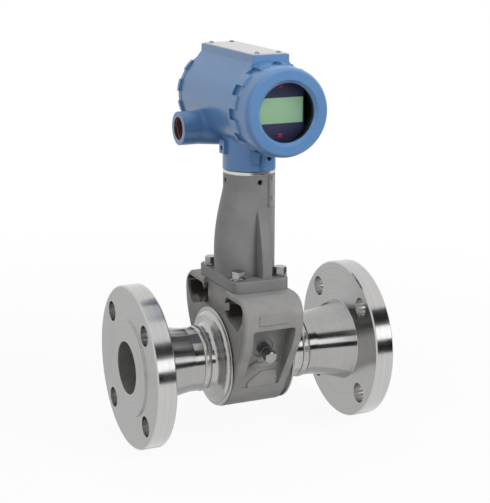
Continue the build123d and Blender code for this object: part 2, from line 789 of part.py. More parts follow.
# Electronics housing: one casting with two chambers, a neck, a top pad and two conduit entries
with BuildPart() as electronics_housing:
    with BuildSketch(barrel_face.offset(-barrel_back)):
        Circle(barrel_r)
    extrude(amount=barrel_back + barrel_front)
    with BuildSketch(Plane.XY.offset(housing_z0)):
        with Locations((tube_x, 0)):
            Circle(neck_od / 2)
    extrude(amount=barrel_z - housing_z0)

    # Top pad, with shoulders that run down to the barrel
    shoulder_x = barrel_r * cos(radians(90 - top_pad_angle))
    shoulder_z = barrel_r * sin(radians(90 - top_pad_angle))
    with BuildSketch(barrel_face.offset(-barrel_back)):
        with BuildLine():
            Polyline(
                (0, top_pad_z - barrel_z),
                (top_pad_w / 2, top_pad_z - barrel_z),
                (top_pad_w / 2, top_pad_z - barrel_z - top_pad_side_h),
                (shoulder_x, shoulder_z),
                (0, shoulder_z),
            )
            mirror(about=Plane.YZ)
        make_face()
    extrude(amount=barrel_back + barrel_front)

    # Conduit entries on both sides, each with a lofted web into the barrel and neck
    for side in (-1, 1):
        entry = Plane(
            origin=(tube_x + side * conduit_reach, conduit_back, barrel_z - conduit_drop),
            x_dir=(0, -side, 0),
            z_dir=(side, 0, 0),
        )
        with BuildSketch(entry):
            Circle(conduit_od / 2)
        extrude(amount=-conduit_reach)
        with BuildSketch(entry.offset(web_start - conduit_reach)):
            RectangleRounded(conduit_od, conduit_od, conduit_od / 2 - 0.4)
        with BuildSketch(entry.offset(web_end - conduit_reach)):
            with Locations((-side * web_shift, -web_raise)):
                RectangleRounded(2 * web_half_l, 2 * web_half_h, web_round)
        loft()

    # Bosses for the set screws, and a shallow blind boss
    for angle, height, width, foot_z in set_screws:
        with BuildSketch(round_tube_plane(angle, 0)):
            with Locations((0, (foot_z + height + set_boss_h) / 2)):
                Rectangle(width, height + set_boss_h - foot_z)
        extrude(amount=neck_od / 2 + set_boss_reach)
    with BuildSketch(round_tube_plane(blind_boss_angle, blind_boss_z)):
        Circle(blind_boss_d / 2)
        with Locations((0, blind_boss_d)):
            Rectangle(blind_boss_d, 2 * blind_boss_d)
    extrude(amount=neck_od / 2 + blind_boss_reach)

    # Chambers, the dividing wall between them, the neck's socket and the cable way
    with BuildSketch(barrel_face.offset(mid_wall_front)):
        Circle(chamber_r)
    extrude(amount=barrel_front - mid_wall_front, mode=Mode.SUBTRACT)
    with BuildSketch(barrel_face.offset(-barrel_back)):
        Circle(chamber_r)
    extrude(amount=barrel_back + rear_wall, mode=Mode.SUBTRACT)
    with BuildSketch(Plane.XY.offset(housing_z0)):
        with Locations((tube_x, 0)):
            Circle(socket_r)
    extrude(amount=socket_top - housing_z0, mode=Mode.SUBTRACT)
    with BuildSketch(Plane.XY.offset(housing_z0)):
        with Locations((tube_x, 0)):
            Circle(cable_hole_d / 2)
    extrude(amount=barrel_z - housing_z0, mode=Mode.SUBTRACT)

    # Conduit threads and passages into the rear chamber
    for side in (-1, 1):
        entry = Plane(
            origin=(tube_x + side * conduit_reach, conduit_back, barrel_z - conduit_drop),
            x_dir=(0, -side, 0),
            z_dir=(side, 0, 0),
        )
        with Locations(entry):
            Hole(conduit_d / 2, conduit_depth)
            Hole(conduit_passage_d / 2, conduit_reach)

    # Holes for the set screws and the name plate's screws
    for angle, height, width, foot_z in set_screws:
        with Locations(round_tube_plane(angle, height, neck_od / 2 + set_boss_reach + 1)):
            Hole(set_screw_d / 2 + run_fit, neck_od / 2 + set_boss_reach + 1 - socket_r + 1)
    with Locations((tube_x, (barrel_back - barrel_front) / 2, top_pad_z)):
        with GridLocations(plate_screw_span, plate_len - 2 * plate_screw_inset, 2, 2):
            Hole(plate_screw_d / 2 + run_fit, plate_screw_len)

# Housing set screws, backed off from the spigot so that the housing can turn
with BuildPart() as housing_screws:
    for angle, height, width, foot_z in set_screws:
        with BuildSketch(round_tube_plane(angle, height, spigot_r + turn_gap)):
            Circle(set_screw_d / 2)
        extrude(amount=set_screw_len)
        with BuildSketch(round_tube_plane(angle, height, spigot_r + turn_gap + set_screw_len)):
            RegularPolygon(set_screw_d / 4, 6, major_radius=False)
        extrude(amount=-set_screw_len / 2, mode=Mode.SUBTRACT)

# Name plate: a blank sheet on the top pad, held by four pan-head screws
with BuildPart() as name_plate:
    with BuildSketch(Plane.XY.offset(top_pad_z)):
        with Locations((tube_x, (barrel_back - barrel_front) / 2)):
            RectangleRounded(top_pad_w - 2 * plate_margin, plate_len, top_pad_corner_r)
            with GridLocations(plate_screw_span, plate_len - 2 * plate_screw_inset, 2, 2):
                Circle(plate_screw_d / 2 + run_fit, mode=Mode.SUBTRACT)
    extrude(amount=plate_thk)

with BuildPart() as name_plate_screws:
    with BuildSketch(Plane.XY.offset(top_pad_z + plate_thk)):
        with Locations((tube_x, (barrel_back - barrel_front) / 2)):
            with GridLocations(plate_screw_span, plate_len - 2 * plate_screw_inset, 2, 2):
                Circle(plate_screw_head_d / 2)
    extrude(amount=plate_screw_head_h)
    with BuildSketch(Plane.XY.offset(top_pad_z + plate_thk)):
        with Locations((tube_x, (barrel_back - barrel_front) / 2)):
            with GridLocations(plate_screw_span, plate_len - 2 * plate_screw_inset, 2, 2):
                Circle(plate_screw_d / 2)
    extrude(amount=-plate_screw_len)

# Display cover: a castellated screw cover with a bevelled window
with BuildPart() as display_cover:
    with BuildSketch(barrel_section):
        with BuildLine():
            side = Polyline(
                (barrel_front - cover_skirt, skirt_inner_r),
                (barrel_front - cover_skirt, skirt_r),
                (barrel_front - seal_inset - seal_section, skirt_r),
                (barrel_front - seal_inset - seal_section, skirt_r - seal_section),
                (barrel_front - seal_inset, skirt_r - seal_section),
                (barrel_front - seal_inset, skirt_r),
                (barrel_front, skirt_r),
                (barrel_front, cover_collar_d / 2),
                (barrel_front + cover_collar_len, cover_collar_d / 2),
                (barrel_front + cover_collar_len + 0.8, cover_side_d / 2),
                (cover_front - cover_shoulder, cover_side_d / 2 - 0.6),
            )
            front = Polyline(
                (cover_front, cover_face_d / 2),
                (cover_front, window_d / 2 + window_bevel),
                (glass_front + window_land, window_d / 2),
                (glass_front, window_d / 2),
                (glass_front, skirt_inner_r),
                side @ 0,
            )
            TangentArc(side @ 1, front @ 0, tangent=side % 1)
        make_face()
    revolve(axis=barrel_axis)
    with BuildSketch(barrel_face.offset(barrel_front + cover_collar_back)):
        with PolarLocations(cover_collar_d / 2, notches, start_angle=notch_phase):
            Rectangle(2 * notch_depth, notch_w)
    extrude(amount=cover_collar_len, mode=Mode.SUBTRACT)

# Cover glass, its retaining ring, and the square seal at the skirt's root
with BuildPart() as cover_glass:
    with BuildSketch(barrel_face.offset(glass_back)):
        Circle(glass_r)
    extrude(amount=glass_thk)

with BuildPart() as glass_retainer:
    with BuildSketch(barrel_face.offset(glass_back - retainer_thk)):
        Circle(skirt_inner_r - run_fit)
        Circle(skirt_inner_r - run_fit - retainer_ring, mode=Mode.SUBTRACT)
    extrude(amount=retainer_thk)

with BuildPart() as display_cover_seal:
    with BuildSketch(barrel_section):
        with Locations((barrel_front - seal_inset - seal_section / 2, skirt_r - seal_section / 2)):
            Rectangle(seal_section - 2 * run_fit, seal_section - 2 * run_fit)
    revolve(axis=barrel_axis)

# Terminal cover: a blank castellated cap
with BuildPart() as terminal_cover:
    with BuildSketch(barrel_section):
        with BuildLine():
            Polyline(
                (-barrel_back + cover_skirt, skirt_inner_r),
                (-barrel_back + cover_skirt, skirt_r),
                (-barrel_back + seal_inset + seal_section, skirt_r),
                (-barrel_back + seal_inset + seal_section, skirt_r - seal_section),
                (-barrel_back + seal_inset, skirt_r - seal_section),
                (-barrel_back + seal_inset, skirt_r),
                (-barrel_back, skirt_r),
                (-barrel_back, barrel_r + 0.4),
                (-barrel_back - cap_lug_back, barrel_r + 0.4),
                (-barrel_back - cap_lug_back, barrel_r + cap_lug_reach),
                (-cap_back + 1.0, barrel_r + cap_lug_reach),
                (-cap_back, barrel_r + cap_lug_reach - 1.0),
                (-cap_back, cap_dish_d / 2 + cap_dish_depth),
                (-cap_back + cap_dish_depth, cap_dish_d / 2),
                (-cap_back + cap_dish_depth, 0),
                (-barrel_back, 0),
                (-barrel_back, skirt_inner_r),
                close=True,
            )
        make_face()
    revolve(axis=barrel_axis)
    with BuildSketch(barrel_face.offset(-cap_back)):
        with PolarLocations(barrel_r + cap_lug_reach, notches, start_angle=notch_phase):
            Rectangle(2 * cap_lug_reach, notch_w)
    extrude(amount=cap_thk - cap_lug_back, mode=Mode.SUBTRACT)

with BuildPart() as terminal_cover_seal:
    with BuildSketch(barrel_section):
        with Locations((-barrel_back + seal_inset + seal_section / 2, skirt_r - seal_section / 2)):
            Rectangle(seal_section - 2 * run_fit, seal_section - 2 * run_fit)
    revolve(axis=barrel_axis)

# Electronics module: a potted puck against the dividing wall, with two clamp screws
with BuildPart() as electronics_module:
    with BuildSketch(barrel_face.offset(module_back)):
        Circle(chamber_r - module_gap)
    extrude(amount=module_front - module_back)
    chamfer(edges().filter_by(GeomType.CIRCLE).sort_by(Axis.Y)[0], 1.5)
    with Locations(barrel_face.offset(module_front)):
        with GridLocations(module_screw_span, 1, 2, 1):
            Hole(module_screw_d / 2 + run_fit, module_screw_grip + hole_fit)

with BuildPart() as module_screws:
    with BuildSketch(barrel_face.offset(module_front - module_screw_grip)):
        with GridLocations(module_screw_span, 1, 2, 1):
            Circle(module_screw_d / 2)
    extrude(amount=module_screw_grip)
    with BuildSketch(barrel_face.offset(module_front)):
        with GridLocations(module_screw_span, 1, 2, 1):
            Circle(module_screw_head_d / 2)
    extrude(amount=module_screw_head_h)

# Display: posts, bezel, glass and the two clips that hold it
display_back = display_front - display_thk
with BuildPart() as display_posts:
    with BuildSketch(barrel_face.offset(module_front)):
        with GridLocations(1, post_span, 1, 2):
            Circle(post_d / 2)
    extrude(amount=display_back - module_front)

with BuildPart() as display_bezel:
    with BuildSketch(barrel_face.offset(display_back)):
        Circle(display_r)
        Rectangle(display_w, 2 * display_r, mode=Mode.INTERSECT)
    extrude(amount=display_thk)
    with BuildSketch(barrel_face.offset(display_front)):
        Rectangle(lcd_w, lcd_h)
    extrude(amount=-lcd_depth, mode=Mode.SUBTRACT)

with BuildPart() as lcd_glass:
    with BuildSketch(barrel_face.offset(display_front - lcd_depth)):
        Rectangle(lcd_w - 2 * run_fit, lcd_h - 2 * run_fit)
    extrude(amount=lcd_depth)

with BuildPart() as display_clips:
    with BuildSketch(barrel_face.offset(display_front)):
        with GridLocations(1, 2 * clip_drop, 1, 2):
            RectangleRounded(clip_w, clip_h, 0.8)
    extrude(amount=clip_thk)

# Terminal block: a moulded block on the dividing wall, with barriers and four screws
with BuildPart() as terminal_block:
    with BuildSketch(barrel_face.offset(rear_wall - terminal_thk)):
        Circle(terminal_r)
        with Locations((0, -terminal_r * (1 + terminal_cut))):
            Rectangle(2 * terminal_r, 2 * terminal_r, mode=Mode.SUBTRACT)
    extrude(amount=terminal_thk)
    with BuildSketch(barrel_face.offset(rear_wall - terminal_thk)):
        with GridLocations(terminal_pitch, 1, terminals + 1, 1):
            Rectangle(barrier_w, barrier_l)
    extrude(amount=-barrier_h)
    with Locations(barrel_face.offset(rear_wall - terminal_thk)):
        with GridLocations(terminal_pitch, 1, terminals, 1):
            Hole(terminal_screw_d / 2 + run_fit, terminal_grip)

terminal_face = Plane(origin=barrel_face.offset(rear_wall - terminal_thk).origin, x_dir=(-1, 0, 0), z_dir=(0, 1, 0))
with BuildPart() as terminal_screws:
    with BuildSketch(terminal_face.offset(-terminal_grip)):
        with GridLocations(terminal_pitch, 1, terminals, 1):
            Circle(terminal_screw_d / 2)
    extrude(amount=terminal_grip)
    with BuildSketch(terminal_face):
        with GridLocations(terminal_pitch, 1, terminals, 1):
            Circle(terminal_head_d / 2)
    extrude(amount=terminal_head_h)

# Chassis ground screw on the dividing wall, beside the block
ground_place = (ground_screw_r * cos(radians(ground_screw_angle)), ground_screw_r * sin(radians(ground_screw_angle)))
with BuildPart() as inner_ground_screw:
    with BuildSketch(barrel_face.offset(rear_wall)):
        with Locations(ground_place):
            Circle(terminal_head_d / 2)
    extrude(amount=-2 * terminal_head_h)

pieces = {
    "outlet_flange": outlet_flange,
    "inlet_flange": inlet_flange,
    "outlet_weld": outlet_weld,
    "inlet_weld": inlet_weld,
    "meter_body": meter_body,
    "shedder_bar": shedder_bar,
    "flow_sensor": flow_sensor,
    "sensor_nut": sensor_nut,
    "sensor_cable": sensor_cable,
    "cable_connector": cable_connector,
    "support_tube": support_tube,
    "tube_washers": tube_washers,
    "tube_bolts": tube_bolts,
    "access_plug": access_plug,
    "tube_tag": tube_tag,
    "tag_screws": tag_screws,
    "housing_seal": housing_seal,
    "electronics_housing": electronics_housing,
    "housing_screws": housing_screws,
    "name_plate": name_plate,
    "name_plate_screws": name_plate_screws,
    "display_cover": display_cover,
    "cover_glass": cover_glass,
    "glass_retainer": glass_retainer,
    "display_cover_seal": display_cover_seal,
    "terminal_cover": terminal_cover,
    "terminal_cover_seal": terminal_cover_seal,
    "electronics_module": electronics_module,
    "module_screws": module_screws,
    "display_posts": display_posts,
    "display_bezel": display_bezel,
    "lcd_glass": lcd_glass,
    "display_clips": display_clips,
    "terminal_block": terminal_block,
    "terminal_screws": terminal_screws,
    "inner_ground_screw": inner_ground_screw,
}
os.makedirs("parts", exist_ok=True)
for name, piece in pieces.items():
    piece.part.label = name
    export_step(piece.part, f"parts/{name}.step")
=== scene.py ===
import math

import bmesh
import bpy
from mathutils import Matrix, Vector


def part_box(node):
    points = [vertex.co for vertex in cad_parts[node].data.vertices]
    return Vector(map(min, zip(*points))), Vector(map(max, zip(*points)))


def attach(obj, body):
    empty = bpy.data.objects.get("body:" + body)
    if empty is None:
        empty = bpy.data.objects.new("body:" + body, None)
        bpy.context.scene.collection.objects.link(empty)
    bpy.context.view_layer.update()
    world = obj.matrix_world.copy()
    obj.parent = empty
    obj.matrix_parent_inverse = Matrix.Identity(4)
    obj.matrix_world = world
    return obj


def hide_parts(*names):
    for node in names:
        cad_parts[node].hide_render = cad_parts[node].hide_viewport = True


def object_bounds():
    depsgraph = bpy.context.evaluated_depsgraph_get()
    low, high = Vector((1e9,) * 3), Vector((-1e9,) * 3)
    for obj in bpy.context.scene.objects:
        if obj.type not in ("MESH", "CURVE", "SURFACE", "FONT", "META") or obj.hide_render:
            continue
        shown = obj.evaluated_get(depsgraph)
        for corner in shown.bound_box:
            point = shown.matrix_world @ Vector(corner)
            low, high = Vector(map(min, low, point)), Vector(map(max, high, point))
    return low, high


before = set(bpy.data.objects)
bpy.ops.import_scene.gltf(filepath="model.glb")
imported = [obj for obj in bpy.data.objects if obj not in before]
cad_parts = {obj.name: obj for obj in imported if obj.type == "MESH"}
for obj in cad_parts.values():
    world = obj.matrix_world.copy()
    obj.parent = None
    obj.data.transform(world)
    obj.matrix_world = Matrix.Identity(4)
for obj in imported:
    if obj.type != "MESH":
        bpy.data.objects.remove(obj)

cad_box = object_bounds()
mm = 0.001

# Camera: a long lens a little above the meter and round to its outlet side. Its distances were
# measured from the outlet's raised face, which stands 1.6 mm before the origin.
azimuth = math.radians(-24.57)
elevation = math.radians(14.25)
roll = math.radians(0.19)
distance = 1285.45 * mm
aside = 108.68 * mm
above = 106.99 * mm
raised_face = 1.6 * mm
back = Vector((
    math.sin(azimuth) * math.cos(elevation),
    -math.cos(azimuth) * math.cos(elevation),
    math.sin(elevation),
))
level = Vector((math.cos(azimuth), math.sin(azimuth), 0))
rise = back.cross(level)
right = math.cos(roll) * level + math.sin(roll) * rise
up = math.cos(roll) * rise - math.sin(roll) * level
eye = distance * back + aside * right + above * up - Vector((raised_face, 0, 0))
camera = bpy.data.objects.new("camera", bpy.data.cameras.new("camera"))
camera.data.lens = 100.09
camera.data.sensor_width = 36
camera.matrix_world = Matrix.Translation(eye) @ Matrix((right, up, back)).transposed().to_4x4()
bpy.context.scene.collection.objects.link(camera)
bpy.context.scene.camera = camera

# Studio: a white sweep under the flanges, lit by two soft boxes and one above. The cards show only
# in reflections and through glass: dark ones draw bands in the turned metal, a white one the bright
# band between them, and a grey one near the floor dims what the outlet's faces mirror.
bpy.context.scene.view_settings.view_transform = "Standard"


def linear(colour):
    """An sRGB hex colour as linear red, green, blue and alpha."""
    parts = [int(colour[i:i + 2], 16) / 255 for i in (1, 3, 5)]
    return (*[c / 12.92 if c <= 0.04045 else ((c + 0.055) / 1.055) ** 2.4 for c in parts], 1)


def add_node(tree, kind, inputs=None, **settings):
    """Adds a node, sets its properties, and fills its inputs with values or other nodes' outputs."""
    made = tree.nodes.new(kind)
    for name, value in settings.items():
        setattr(made, name, value)
    for key, value in (inputs or {}).items():
        if isinstance(value, bpy.types.NodeSocket):
            tree.links.new(value, made.inputs[key])
        else:
            made.inputs[key].default_value = value
    return made


def rays_that_show(tree):
    """1 for rays that show the studio, straight, mirrored or through glass; 0 for those that light."""
    rays = add_node(tree, "ShaderNodeLightPath")
    seen = add_node(tree, "ShaderNodeMath", {
        0: rays.outputs["Is Camera Ray"], 1: rays.outputs["Is Glossy Ray"],
    }, operation="MAXIMUM")
    return add_node(tree, "ShaderNodeMath", {
        0: seen.outputs[0], 1: rays.outputs["Is Transmission Ray"],
    }, operation="MAXIMUM")


world = bpy.data.worlds.new("studio")
bpy.context.scene.world = world
world.use_nodes = True
tree = world.node_tree
seen = rays_that_show(tree)
strength = add_node(tree, "ShaderNodeMapRange", {"Value": seen.outputs[0], "To Min": 0.26, "To Max": 1.0})
tree.nodes["Background"].inputs["Color"].default_value = (1, 1, 1, 1)
tree.links.new(strength.outputs[0], tree.nodes["Background"].inputs["Strength"])

floor_material = bpy.data.materials.new("white_sweep")
floor_material.use_nodes = True
tree = floor_material.node_tree
seen = rays_that_show(tree)
place = add_node(tree, "ShaderNodeTexCoord")
away = add_node(tree, "ShaderNodeVectorMath", {0: place.outputs["Object"]}, operation="LENGTH")
fade = add_node(tree, "ShaderNodeMapRange", {
    "Value": away.outputs["Value"], "From Min": 0.3, "From Max": 0.9, "To Min": 0.93, "To Max": 1.0,
})
share = add_node(tree, "ShaderNodeMath", {0: seen.outputs[0], 1: fade.outputs[0]}, operation="MULTIPLY")
paper = add_node(tree, "ShaderNodeBsdfDiffuse", {"Color": (0.5, 0.5, 0.5, 1)})
glow = add_node(tree, "ShaderNodeEmission", {"Color": (1, 1, 1, 1), "Strength": 1.0})
mixed = add_node(tree, "ShaderNodeMixShader", {
    0: share.outputs[0], 1: paper.outputs[0], 2: glow.outputs[0],
})
tree.links.new(mixed.outputs[0], tree.nodes["Material Output"].inputs["Surface"])

bm = bmesh.new()
bmesh.ops.create_grid(bm, x_segments=1, y_segments=1, size=15)
bmesh.ops.translate(bm, verts=bm.verts, vec=(0, 0, cad_box[0].z - 0.2 * mm))
floor_mesh = bpy.data.meshes.new("floor")
bm.to_mesh(floor_mesh)
bm.free()
floor_mesh.materials.append(floor_material)
floor = bpy.data.objects.new("floor", floor_mesh)
bpy.context.scene.collection.objects.link(floor)

centre = Vector((118 * mm, 0, 110 * mm))
lamps = (
    ("key_box", (0.95, -1.3, 1.1), 0.9, 0.7, 36),
    ("fill_box", (-1.3, -0.6, 0.8), 0.7, 0.9, 13),
    ("top_box", (0.1, 0.3, 1.5), 1.2, 0.8, 9),
)
for name, spot, width, height, power in lamps:
    lamp = bpy.data.objects.new(name, bpy.data.lights.new(name, "AREA"))
    lamp.data.shape = "RECTANGLE"
    lamp.data.size = width
    lamp.data.size_y = height
    lamp.data.energy = power
    lamp.location = spot
    lamp.rotation_euler = (centre - Vector(spot)).to_track_quat("-Z", "Y").to_euler()
    lamp.visible_glossy = False
    bpy.context.scene.collection.objects.link(lamp)

cards = (
    ("card_low", (0.42, -0.52, 0.005), (-0.5, 0.86, 0), 1.3, 0.16, 0.01),
    ("card_far", (0.66, -1.22, 0.03), (-0.41, 0.91, 0), 1.6, 0.24, 0.01),
    ("card_high", (0.55, -0.75, 0.62), (-0.5, 0.87, 0), 1.6, 0.46, 0.01),
    ("card_white", (0.64, -1.0, 0.33), (-0.5, 0.87, 0), 1.3, 0.34, 1.9),
    ("card_floor", (-0.11, 0.36, -0.0755), (0, 0, 1), 0.7, 0.78, 0.68),
)
for name, spot, facing, width, height, shade in cards:
    card_material = bpy.data.materials.new(name)
    card_material.use_nodes = True
    tree = card_material.node_tree
    glow = add_node(tree, "ShaderNodeEmission", {"Color": (1, 1, 1, 1), "Strength": shade})
    tree.links.new(glow.outputs[0], tree.nodes["Material Output"].inputs["Surface"])
    bm = bmesh.new()
    bmesh.ops.create_grid(bm, x_segments=1, y_segments=1, size=0.5)
    bmesh.ops.scale(bm, verts=bm.verts, vec=(width, height, 1))
    turn = Vector(facing).to_track_quat("Z", "Y").to_matrix().to_4x4()
    bmesh.ops.transform(bm, verts=bm.verts, matrix=Matrix.Translation(spot) @ turn)
    card_mesh = bpy.data.meshes.new(name)
    bm.to_mesh(card_mesh)
    bm.free()
    card_mesh.materials.append(card_material)
    card = bpy.data.objects.new(name, card_mesh)
    card.visible_camera = False
    card.visible_diffuse = False
    card.visible_shadow = False
    bpy.context.scene.collection.objects.link(card)

# Flanges: forged stainless, turned all over in a lathe, so grooves run round the pipe's axis and
# draw the light out across them. They are drawn 1.1 mm apart, coarser than real ones, so that they
# show. The hubs are painted darker, a painted shade for their darker reflections, and the bore is
# a little duller.
groove_gap = 1.1 * mm
pipe_mid = 118.4 * mm
hub_reach = 99.6 * mm
hub_r = 48 * mm
bore_edge = 24.8 * mm


def new_material(name):
    """A material, its node tree and its shader."""
    material = bpy.data.materials.new(name)
    material.use_nodes = True
    return material, material.node_tree, material.node_tree.nodes["Principled BSDF"]


def dress(material, *names):
    """Gives CAD nodes a material in every slot."""
    for name in names:
        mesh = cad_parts[name].data
        mesh.materials.clear()
        mesh.materials.append(material)


def reach_from_axis(tree, place, point, across):
    """The distance from an axis through a point; across is 0 along the axis and 1 the other ways."""
    offset = add_node(tree, "ShaderNodeVectorMath", {
        0: place.outputs["Object"], 1: point,
    }, operation="SUBTRACT")
    flat = add_node(tree, "ShaderNodeVectorMath", {0: offset.outputs[0], 1: across}, operation="MULTIPLY")
    return add_node(tree, "ShaderNodeVectorMath", {0: flat.outputs[0]}, operation="LENGTH")


turned_stainless, tree, shader = new_material("turned_stainless")
place = add_node(tree, "ShaderNodeTexCoord")
apart = add_node(tree, "ShaderNodeSeparateXYZ", {0: place.outputs["Object"]})
round_way = add_node(tree, "ShaderNodeVectorMath", {
    0: (1, 0, 0), 1: place.outputs["Object"],
}, operation="CROSS_PRODUCT")
radius = reach_from_axis(tree, place, (0, 0, 0), (0, 1, 1))
line = add_node(tree, "ShaderNodeCombineXYZ", {0: apart.outputs[0], 1: radius.outputs["Value"]})
grooves = add_node(tree, "ShaderNodeTexNoise", {
    "Vector": line.outputs[0], "Scale": 1 / groove_gap, "Detail": 3.0, "Roughness": 0.7,
})
stain = add_node(tree, "ShaderNodeTexNoise", {
    "Vector": place.outputs["Object"], "Scale": 1 / (28 * mm), "Detail": 4.0,
})
soft_edge = add_node(tree, "ShaderNodeBevel", {"Radius": 0.5 * mm}, samples=4)
bump = add_node(tree, "ShaderNodeBump", {
    "Height": grooves.outputs["Fac"], "Strength": 0.25, "Distance": 0.05 * mm,
    "Normal": soft_edge.outputs[0],
})
rough = add_node(tree, "ShaderNodeMapRange", {
    "Value": stain.outputs["Fac"], "From Min": 0.3, "From Max": 0.7, "To Min": 0.15, "To Max": 0.23,
})
tint = add_node(tree, "ShaderNodeMix", {
    "Factor": grooves.outputs["Fac"], 6: linear("#B4B3B2"), 7: linear("#CDCCCB"),
}, data_type="RGBA")
# Painted shade: on the hubs the colour is mixed a third of the way to a dark grey.
hub = add_node(tree, "ShaderNodeMath", {
    0: apart.outputs[0], 1: pipe_mid, 2: hub_reach,
}, operation="COMPARE")
slim = add_node(tree, "ShaderNodeMath", {0: radius.outputs["Value"], 1: hub_r}, operation="LESS_THAN")
hub = add_node(tree, "ShaderNodeMath", {0: hub.outputs[0], 1: slim.outputs[0]}, operation="MULTIPLY")
hub_painted_shade = add_node(tree, "ShaderNodeMath", {0: hub.outputs[0], 1: 0.32}, operation="MULTIPLY")
tint = add_node(tree, "ShaderNodeMix", {
    "Factor": hub_painted_shade.outputs[0], 6: tint.outputs[2], 7: linear("#5E5D5C"),
}, data_type="RGBA")
bore = add_node(tree, "ShaderNodeMath", {
    0: radius.outputs["Value"], 1: bore_edge,
}, operation="LESS_THAN")
tint = add_node(tree, "ShaderNodeMix", {
    "Factor": bore.outputs[0], 6: tint.outputs[2], 7: linear("#BAB8B6"),
}, data_type="RGBA")
metal = add_node(tree, "ShaderNodeMapRange", {"Value": bore.outputs[0], "To Min": 1.0, "To Max": 0.82})
shader.inputs["Anisotropic"].default_value = 0.8
shader.inputs["Anisotropic Rotation"].default_value = 0.25
tree.links.new(round_way.outputs[0], shader.inputs["Tangent"])
tree.links.new(metal.outputs[0], shader.inputs["Metallic"])
tree.links.new(tint.outputs[2], shader.inputs["Base Color"])
tree.links.new(rough.outputs[0], shader.inputs["Roughness"])
tree.links.new(bump.outputs[0], shader.inputs["Normal"])
dress(turned_stainless, "outlet_flange", "inlet_flange")

# Weld beads: stainless butt welds between the flange hubs and the cast body, laid in one run and
# brushed bright, so the crown is smooth with faint ripples where the arc moved on.
bead_rise = 1.3 * mm
bead_inner_r = 24.63 * mm
ripples = 60
ripple_depth = 0.1 * mm


def grained_finish(name, grain_size, detail, dark, light, surface, relief=None, stretch=None):
    """A finish whose grain gives its shades, and its relief as a strength and a depth. A stretch
    below 1 draws the grain out that way, and the surface holds the shader's own values."""
    material, tree, shader = new_material(name)
    where = add_node(tree, "ShaderNodeTexCoord").outputs["Object"]
    if stretch:
        where = add_node(tree, "ShaderNodeMapping", {"Vector": where, "Scale": stretch}).outputs[0]
    grain = add_node(tree, "ShaderNodeTexNoise", {
        "Vector": where, "Scale": 1 / grain_size, "Detail": detail,
    })
    colour = add_node(tree, "ShaderNodeMix", {
        "Factor": grain.outputs["Fac"], 6: linear(dark), 7: linear(light),
    }, data_type="RGBA")
    tree.links.new(colour.outputs[2], shader.inputs["Base Color"])
    if relief:
        bump = add_node(tree, "ShaderNodeBump", {
            "Height": grain.outputs["Fac"], "Strength": relief[0], "Distance": relief[1],
        })
        tree.links.new(bump.outputs[0], shader.inputs["Normal"])
    for socket, value in surface.items():
        shader.inputs[socket].default_value = value
    return material


def save_piece(bm, name, body, slot, material, *stands_for, sharp=40):
    """Closes a bmesh into a smooth-shaded object that rides on a body."""
    bmesh.ops.remove_doubles(bm, verts=bm.verts, dist=0.002 * mm)
    bmesh.ops.recalc_face_normals(bm, faces=bm.faces)
    mesh = bpy.data.meshes.new(name)
    bm.to_mesh(mesh)
    bm.free()
    mesh.materials.append(material)
    mesh.polygons.foreach_set("use_smooth", [True] * len(mesh.polygons))
    mesh.set_sharp_from_angle(angle=math.radians(sharp))
    piece = bpy.data.objects.new(name, mesh)
    bpy.context.scene.collection.objects.link(piece)
    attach(piece, body)
    if stands_for:
        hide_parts(*stands_for)


def add_line(bm, points, closed=False):
    """A run of vertices and edges through the points."""
    verts = [bm.verts.new(point) for point in points]
    pairs = list(zip(verts, verts[1:])) + ([(verts[-1], verts[0])] if closed else [])
    return verts + [bm.edges.new(pair) for pair in pairs]


weld_steel = grained_finish(
    "brushed_weld", 5 * mm, 3.0, "#A09E9B", "#C8C6C3", relief=(0.3, 0.1 * mm),
    surface={"Metallic": 1.0, "Roughness": 0.27},
)
for name in ("outlet_weld", "inlet_weld"):
    low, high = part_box(name)
    crown = high.z
    foot = crown - bead_rise
    middle = (low.x + high.x) / 2
    half = (high.x - low.x) / 2
    bm = bmesh.new()
    arch = []
    for i in range(9):
        turn = math.pi * i / 8
        arch.append((middle - half * math.cos(turn), 0, foot + (crown - foot) * math.sin(turn)))
    ring = add_line(bm, arch + [(high.x, 0, bead_inner_r), (low.x, 0, bead_inner_r)], closed=True)
    bmesh.ops.spin(
        bm, geom=ring, cent=(0, 0, 0), axis=(1, 0, 0), angle=2 * math.pi, steps=180, use_merge=True,
    )
    for v in bm.verts:
        around = math.atan2(v.co.y, v.co.z)
        reach = math.hypot(v.co.y, v.co.z)
        if reach > foot + 0.2 * mm:
            lag = abs(v.co.x - middle) / half
            dip = ripple_depth * (0.5 + 0.5 * math.cos(ripples * around + 2 * lag))
            v.co.y *= (reach - dip) / reach
            v.co.z *= (reach - dip) / reach
    save_piece(bm, name + "_bead", "meter", "weld_bead", weld_steel, name, sharp=50)

# Meter body: one stainless casting, blasted to a matte grey, with its round ends and its bore turned
# bright. Inside the windows a painted shadow, near black, is mixed into the colour and fades out at
# their lower edges. The blasted grain is drawn 0.7 mm wide, coarser than the real one, so that it
# shows.
casting_x = 115.2 * mm
turned_from = 30.6 * mm
blast_grain = 0.7 * mm
window_y = 44.8 * mm
window_half = 19.9 * mm
window_roof = 65.05 * mm
painted_shade_starts = 41.95 * mm
painted_shade_full = 46.5 * mm
painted_shade_deep = 25.5 * mm
painted_shade_ends = 29.2 * mm

